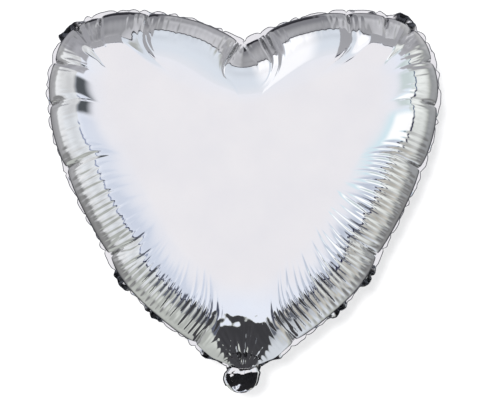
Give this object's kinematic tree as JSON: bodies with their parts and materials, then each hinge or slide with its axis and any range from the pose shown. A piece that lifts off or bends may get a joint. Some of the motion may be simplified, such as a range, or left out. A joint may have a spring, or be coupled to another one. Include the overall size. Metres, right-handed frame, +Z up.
{
  "type": "heart foil balloon",
  "caption": "Heart-shaped metallised film balloon, inflated: two sealed panels with a bonded border, a flat film valve in the neck and a folding inflation tail.",
  "frame": {"origin": "middle of the neck, in the seam plane, where a ribbon or a stick cup holds the balloon", "axes": "+Z up from the neck to the notch of the heart; +X across the heart; -Y towards the front panel"},
  "size_m": [0.3977, 0.17, 0.385],
  "materials": {
    "foil_silver": "mirror-bright vacuum-metallised nylon and polyethylene film, silver, creased at the seal",
    "seal_film": "heat-sealed metallised film, slightly dulled and puckered by the sealing bar",
    "valve_film": "thin translucent polyethylene film",
    "valve_seal": "heat-sealed polyethylene film, flattened and slightly glossy",
    "release_coat": "thin matt heat-resistant printed coat"
  },
  "bodies": {
    "balloon": {"front_panel": "foil_silver", "back_panel": "foil_silver", "perimeter_seal": "seal_film", "valve_front_film": "valve_film", "valve_back_film": "valve_film", "valve_edge_seals": "valve_seal", "valve_release_coat": "release_coat"},
    "tail": {"tail_front_ply": "foil_silver", "tail_back_ply": "foil_silver", "tail_edge_seals": "seal_film"}
  },
  "joints": [
    {"name": "tail_fold", "type": "hinge", "parent": "balloon", "child": "tail", "pos_m": [0, 0, -0.0046], "axis": [1, 0, 0], "range_deg": [-120, 120]}
  ]
}
